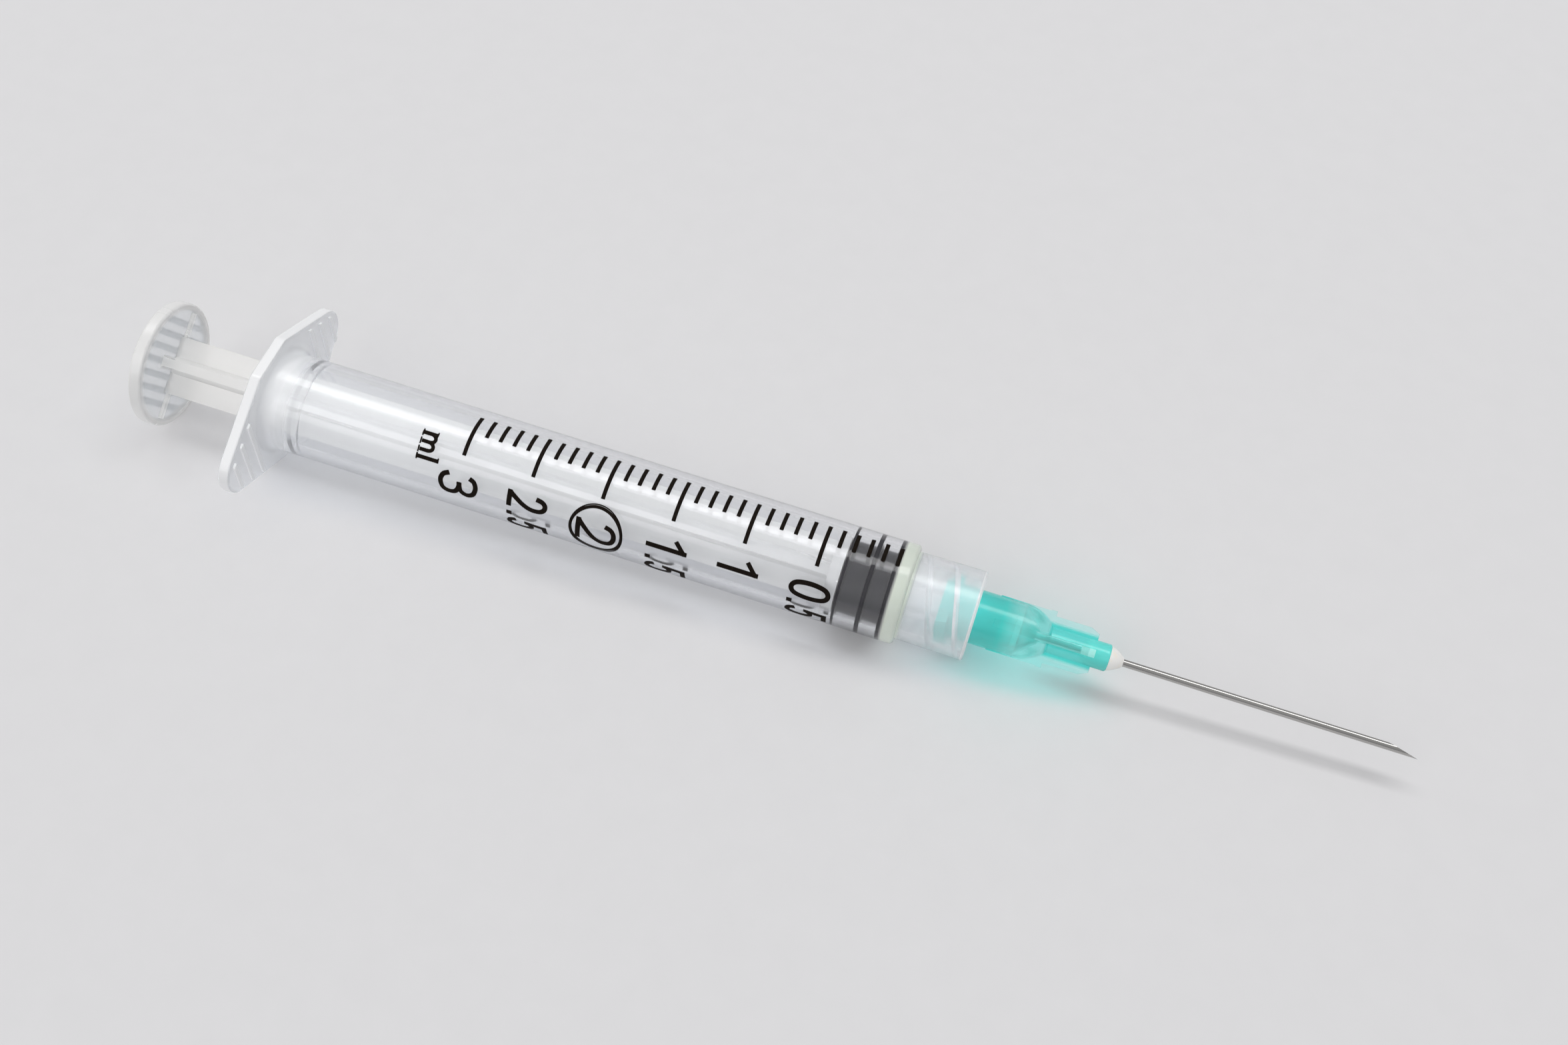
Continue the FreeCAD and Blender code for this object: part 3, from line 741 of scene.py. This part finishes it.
# The strokes of each sign: a weight, a kind and the points of its path in a unit square
STROKES = {
    "0": ((1, "loop", ((.5, 1), (.87, .88), (1, .5), (.87, .12), (.5, 0), (.13, .12), (0, .5),
                       (.13, .88))),),
    "1": ((1, "line", ((.8, 0), (.8, 1))), (0.9, "line", ((.8, .98), (.02, .76)))),
    "2": ((1, "curve", ((0, .74), (.1, .91), (.32, 1), (.64, 1), (.91, .9), (1, .72), (.93, .55),
                        (.7, .37), (.36, .19), (.02, .02))),
          (1, "line", ((0, 0), (1, 0)))),
    "3": ((1, "curve", ((.02, .8), (.15, .94), (.45, 1), (.8, .94), (.95, .77), (.82, .6), (.5, .535),
                        (.34, .53))),
          (1, "curve", ((.34, .53), (.58, .53), (.9, .44), (1, .26), (.88, .08), (.5, 0), (.16, .06),
                        (0, .22)))),
    "5": ((1, "line", ((.95, 1), (.17, 1))), (0.9, "line", ((.17, 1), (.1, .5))),
          (1, "curve", ((.1, .5), (.34, .61), (.66, .61), (.94, .48), (1, .3), (.92, .12), (.62, 0),
                        (.3, .01), (.1, .08), (0, .2)))),
    ".": ((1, "line", ((0, .01), (0, .02))),),
    "m": ((0.8, "line", ((.04, 0), (.04, .62))),
          (0.75, "curve", ((.04, .42), (.12, .58), (.28, .66), (.43, .6), (.49, .44), (.49, .2),
                           (.49, 0))),
          (0.75, "curve", ((.49, .42), (.57, .58), (.73, .66), (.88, .6), (.94, .44), (.94, .2),
                           (.94, 0))),
          (0.3, "line", ((-.1, -.05), (.19, -.05))), (0.3, "line", ((.35, -.05), (.64, -.05))),
          (0.3, "line", ((.8, -.05), (1.08, -.05))), (0.3, "line", ((-.1, .7), (.06, .7)))),
    "l": ((0.8, "line", ((.5, 0), (.5, 1))), (0.3, "line", ((-.1, -.05), (1.1, -.05))),
          (0.3, "line", ((-.1, 1.06), (.5, 1.06)))),
}


def pen_path(kind, points, pen):
    """Fine points of a pen's path through the given ones.

    A line is lengthened by half a pen at its ends. A curve or loop is a cubic spline that
    passes through each point parallel to the chord of its two neighbours.
    """
    if kind == "line":
        step = (points[-1] - points[0]) / np.linalg.norm(points[-1] - points[0]) * pen / 2
        share = np.linspace(0, 1, 24)[:, None]
        return (points[0] - step) * (1 - share) + (points[-1] + step) * share
    if kind == "loop":
        knots = np.vstack([points[-1:], points, points[:2]])
    else:
        knots = np.vstack([2 * points[:1] - points[1:2], points, 2 * points[-1:] - points[-2:-1]])
    a, b, c, d = (knots[i:len(knots) - 3 + i, None, :] for i in range(4))
    t = np.linspace(0, 1, 10, endpoint=False)[None, :, None]
    square = (a - 2.5 * b + 2 * c - d / 2) * t ** 2
    cube = (1.5 * (b - c) + (d - a) / 2) * t ** 3
    fine = (b + (c - a) / 2 * t + square + cube).reshape(-1, 2)
    return fine if kind == "loop" else np.vstack([fine, points[-1:]])


def pen_stroke(path, closed, pen, ink):
    """Points of a flat stroke of ink: a low rectangle, as wide as the pen, carried along its path."""
    if closed:
        ahead = np.roll(path, -1, axis=0) - np.roll(path, 1, axis=0)
    else:
        ahead = np.gradient(path, axis=0)
    aside = np.stack([-ahead[:, 1], ahead[:, 0]], axis=1) / np.linalg.norm(ahead, axis=1)[:, None]
    left, right = path + aside * pen / 2, path - aside * pen / 2
    flat = np.stack([left, right, right, left], axis=1)
    height = np.broadcast_to(np.array([0.0, 0.0, 1.0, 1.0]) * ink - 0.1 * ink, flat.shape[:2])
    return np.concatenate([flat, height[..., None]], axis=2)


def print_strokes(name, strokes, station, angle, size, pen, ink, material):
    """Prints strokes round the barrel, each a weight, a kind and its points in a unit square.

    The square's width and height are the size less a pen. A printed point lies at the station
    plus its height, at the angle that its width covers on the barrel's outside, and outside
    it by its height in the ink. Each stroke is closed at its ends.
    """
    points, faces, count = [], [], 0
    for weight, kind, corners in strokes:
        room = np.maximum(np.array(size) - pen, 0)
        path = pen_path(kind, np.array(corners, dtype=float) * room + pen / 2, pen * weight)
        block = pen_stroke(path, kind == "loop", pen * weight, ink)
        rows, columns = block.shape[:2]
        points.append(block.reshape(-1, 3))
        faces.append(grid_faces(rows, columns, kind == "loop", True) + count)
        count += rows * columns
    flat = np.vstack(points)
    turn = FACING + angle + np.degrees(flat[:, 0] / OUTER_R)
    bent = around(station + flat[:, 1], turn, OUTER_R + flat[:, 2])
    piece = surface_object(name, bent, np.vstack(faces), material, "barrel", smooth=False)
    close_and_orient(piece.data)


def arc(degrees):
    """Length of an arc of the barrel's outside over that angle."""
    return math.radians(degrees) * OUTER_R


class SYRINGE_OT_scale_figures(bpy.types.Operator):
    """Print the figures, the ring and the unit beside the scale's marks"""

    bl_idname = "syringe.scale_figures"
    bl_label = "Scale figures"

    def execute(self, context):
        sizes = context.scene.syringe_sizes
        material = finish(scale_ink, context)
        pen, ink, height = sizes.pen_width, sizes.ink_thickness, sizes.figure_height
        marks = stations("graduation")
        zero = float(marks.max()) - sizes.mark_width / 2
        step = (zero - float(marks.min()) - sizes.mark_width / 2) / sizes.mark_count
        for mark, parts in FIGURES:
            foot = zero - mark * step - height / 2
            for number, (sign, angle, width) in enumerate(parts):
                print_strokes(f"figure_{mark}_{number + 1}", STROKES[sign], foot, angle,
                              (arc(width), height), pen, ink, material)
        for sign, angle, width in UNIT:
            print_strokes(f"unit_{sign}", STROKES[sign], sizes.unit_station, angle,
                          (arc(width), sizes.unit_height), pen, ink, material)
        turn = np.linspace(0, 2 * math.pi, RING_STEPS, endpoint=False)
        circle = np.stack([0.5 + 0.5 * np.cos(turn), 0.5 + 0.5 * np.sin(turn)], axis=1)
        foot = zero - sizes.ring_mark * step - sizes.ring_length / 2
        print_strokes("figure_ring", ((1, "loop", circle),), foot, RING_ANGLE,
                      (arc(RING_WIDTH), sizes.ring_length), sizes.ring_line, ink, material)
        return {"FINISHED"}


class SYRINGE_OT_stage(bpy.types.Operator):
    """Set up the table, the soft lamps, the room and the camera"""

    bl_idname = "syringe.stage"
    bl_label = "Table, lamps and camera"

    def execute(self, context):
        stage = context.scene.syringe_stage
        make_table(stage)
        make_room(stage)
        soft_lamp("key", stage.key_place, stage.key_size, stage.key_power)
        soft_lamp("fill", stage.fill_place, stage.fill_size, stage.fill_power)
        make_camera(context.scene, stage)
        return {"FINISHED"}


def seen_through(tree, names):
    """1 for the kinds of ray that are named, 0 for the others."""
    path = tree.nodes.new("ShaderNodeLightPath")
    total = path.outputs[names[0]]
    for name in names[1:]:
        larger = tree.nodes.new("ShaderNodeMath")
        larger.operation = "MAXIMUM"
        tree.links.new(total, larger.inputs[0])
        tree.links.new(path.outputs[name], larger.inputs[1])
        total = larger.outputs["Value"]
    return total


def make_table(stage):
    """A pale matt table top, one large flat square that takes the backdrop's colour far off."""
    m = NodeTree("table")
    grain = m.noise(m.place, 260.0, 4.0)
    colour = tuple(stage.floor_colour)
    dark = tuple(c * 0.985 for c in colour)
    m.join(m.blend(m.ranged(grain, 0.0, 1.0, 0.3, 0.7), colour, dark), m.shader.inputs["Base Color"])
    m.set(roughness=0.9, specular_ior_level=0.2)
    length = m.tree.nodes.new("ShaderNodeVectorMath")
    length.operation = "LENGTH"
    m.join(m.place, length.inputs[0])
    far = m.ranged(length.outputs["Value"], 0.0, 1.0, stage.fade_start, stage.fade_end)
    plain = m.add("ShaderNodeEmission", Color=(*stage.backdrop, 1))
    mix = m.tree.nodes.new("ShaderNodeMixShader")
    seen = seen_through(m.tree, ("Is Camera Ray", "Is Glossy Ray", "Is Transmission Ray"))
    m.join(m.times(far, seen), mix.inputs["Fac"])
    m.join(m.shader.outputs["BSDF"], mix.inputs[1])
    m.join(plain.outputs["Emission"], mix.inputs[2])
    m.join(mix.outputs["Shader"], m.output.inputs["Surface"])
    half = stage.floor_size / 2
    mesh = bpy.data.meshes.new("table")
    corners = [(-half, -half, 0), (half, -half, 0), (half, half, 0), (-half, half, 0)]
    mesh.from_pydata(corners, [], [(0, 1, 2, 3)])
    mesh.materials.append(m.material)
    table = bpy.data.objects.new("table", mesh)
    bpy.context.scene.collection.objects.link(table)


def make_room(stage):
    """Even light from all round, paler above than at the horizon, and a pale backdrop to look at."""
    world = bpy.data.worlds.new("room")
    world.use_nodes = True
    nodes = world.node_tree.nodes
    links = world.node_tree.links
    light = nodes["Background"]
    light.inputs["Strength"].default_value = stage.room_strength
    place = nodes.new("ShaderNodeTexCoord")
    split = nodes.new("ShaderNodeSeparateXYZ")
    ramp = nodes.new("ShaderNodeValToRGB")
    links.new(place.outputs["Generated"], split.inputs["Vector"])
    links.new(split.outputs["Z"], ramp.inputs["Fac"])
    links.new(ramp.outputs["Color"], light.inputs["Color"])
    low, high = ramp.color_ramp.elements
    low.color = (*stage.room_low, 1)
    high.position = 0.75
    high.color = (*stage.room_high, 1)
    backdrop = nodes.new("ShaderNodeBackground")
    backdrop.inputs["Color"].default_value = (*stage.backdrop, 1)
    mix = nodes.new("ShaderNodeMixShader")
    seen = seen_through(world.node_tree, ("Is Camera Ray", "Is Transmission Ray"))
    links.new(seen, mix.inputs["Fac"])
    links.new(light.outputs["Background"], mix.inputs[1])
    links.new(backdrop.outputs["Background"], mix.inputs[2])
    links.new(mix.outputs["Shader"], nodes["World Output"].inputs["Surface"])
    bpy.context.scene.world = world


def soft_lamp(name, place, size, power):
    """A rectangular soft lamp at a place, facing the scene's middle, its long side along X."""
    lamp = bpy.data.lights.new(name, "AREA")
    lamp.shape = "RECTANGLE"
    lamp.size, lamp.size_y = size
    lamp.energy = power
    holder = bpy.data.objects.new(name, lamp)
    back = Vector(place).normalized()
    right = Vector((1, 0, 0))
    right = (right - back * right.dot(back)).normalized()
    turn = Matrix((right, back.cross(right), back)).transposed()
    holder.matrix_world = Matrix.Translation(place) @ turn.to_4x4()
    bpy.context.scene.collection.objects.link(holder)


def make_camera(scene, stage):
    """The camera at the photograph's viewing angle."""
    camera = bpy.data.cameras.new("camera")
    camera.sensor_width = 36.0
    camera.lens = stage.lens
    camera.clip_start = 0.01
    holder = bpy.data.objects.new("camera", camera)
    right = Vector(stage.camera_right).normalized()
    back = Vector(stage.camera_back)
    back = (back - right * back.dot(right)).normalized()
    turn = Matrix((right, back.cross(right), back)).transposed()
    holder.matrix_world = Matrix.Translation(stage.camera_place) @ turn.to_4x4()
    scene.collection.objects.link(holder)
    scene.camera = holder
    scene.view_settings.view_transform = "Standard"


class SYRINGE_PT_panel(bpy.types.Panel):
    """Lists the steps that dress the syringe"""

    bl_label = "Syringe"
    bl_idname = "SYRINGE_PT_panel"
    bl_space_type = "VIEW_3D"
    bl_region_type = "UI"
    bl_category = "Syringe"

    def draw(self, context):
        for operator in OPERATORS:
            self.layout.operator(operator.bl_idname)


OPERATORS = (
    SYRINGE_OT_finish_solids,
    SYRINGE_OT_collar_thread,
    SYRINGE_OT_seal_contact,
    SYRINGE_OT_scale_figures,
    SYRINGE_OT_stage,
)
GROUPS = {
    "syringe_sizes": SyringeSizes,
    "syringe_finishes": SyringeFinishes,
    "syringe_stage": SyringeStage,
}


def register():
    """Registers the classes and hangs the property groups on the scene."""
    for kind in (*GROUPS.values(), *OPERATORS, SYRINGE_PT_panel):
        bpy.utils.register_class(kind)
    for name, kind in GROUPS.items():
        setattr(bpy.types.Scene, name, PointerProperty(type=kind))


def unregister():
    """Takes back what register did."""
    for name in GROUPS:
        delattr(bpy.types.Scene, name)
    for kind in reversed((*GROUPS.values(), *OPERATORS, SYRINGE_PT_panel)):
        bpy.utils.unregister_class(kind)


def main():
    """Dresses the syringe step by step."""
    register()
    bpy.ops.syringe.finish_solids()
    bpy.ops.syringe.collar_thread()
    bpy.ops.syringe.seal_contact()
    bpy.ops.syringe.scale_figures()
    bpy.ops.syringe.stage()


if __name__ == "__main__":
    main()
